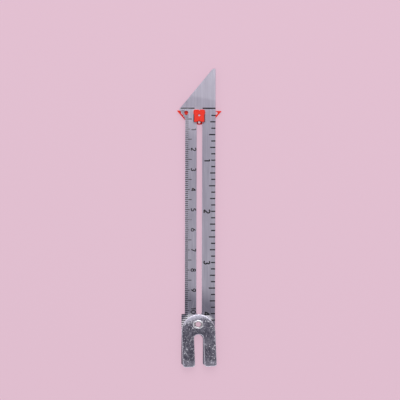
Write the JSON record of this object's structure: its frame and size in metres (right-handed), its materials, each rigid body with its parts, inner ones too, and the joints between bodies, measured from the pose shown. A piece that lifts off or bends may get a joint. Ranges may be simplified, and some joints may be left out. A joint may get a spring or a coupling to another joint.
{
  "type": "sewing button gauge",
  "caption": "Flat aluminium sewing gauge with a collar point, centimetre and inch scales beside a slot, a sliding red marker and a swinging forked button spacer.",
  "frame": {"origin": "middle of the underside of the whole gauge, in the plane of the slider plate's back face, which it rests on", "axes": "+Y along the gauge towards the collar point, +X towards the inch scale, +Z out of the face that carries the scales"},
  "size_m": [0.022, 0.1484, 0.0042],
  "materials": {
    "brushed_aluminium": "brushed along the length, with black-filled engraved scale lines",
    "polished_plate": "tumbled bright, with rounded rims, dents and fine scratches",
    "bright_rivet": "bright rolled eyelet",
    "red_plastic": "moulded, semi-gloss"
  },
  "bodies": {
    "blade": {"blade": "brushed_aluminium", "eyelet": "bright_rivet"},
    "slider": {"slider_plate": "red_plastic", "slider_block": "red_plastic"},
    "spacer": {"fork_plate": "polished_plate"}
  },
  "joints": [
    {"name": "slider_travel", "type": "slide", "parent": "blade", "child": "slider", "axis": [0, -1, 0], "range_m": [-0.0008, 0.0915]},
    {"name": "spacer_swing", "type": "hinge", "parent": "blade", "child": "spacer", "pos_m": [-0.00027, -0.05278, 0.0029], "axis": [0, 0, 1], "range_deg": [-92.4, 87.6]}
  ]
}
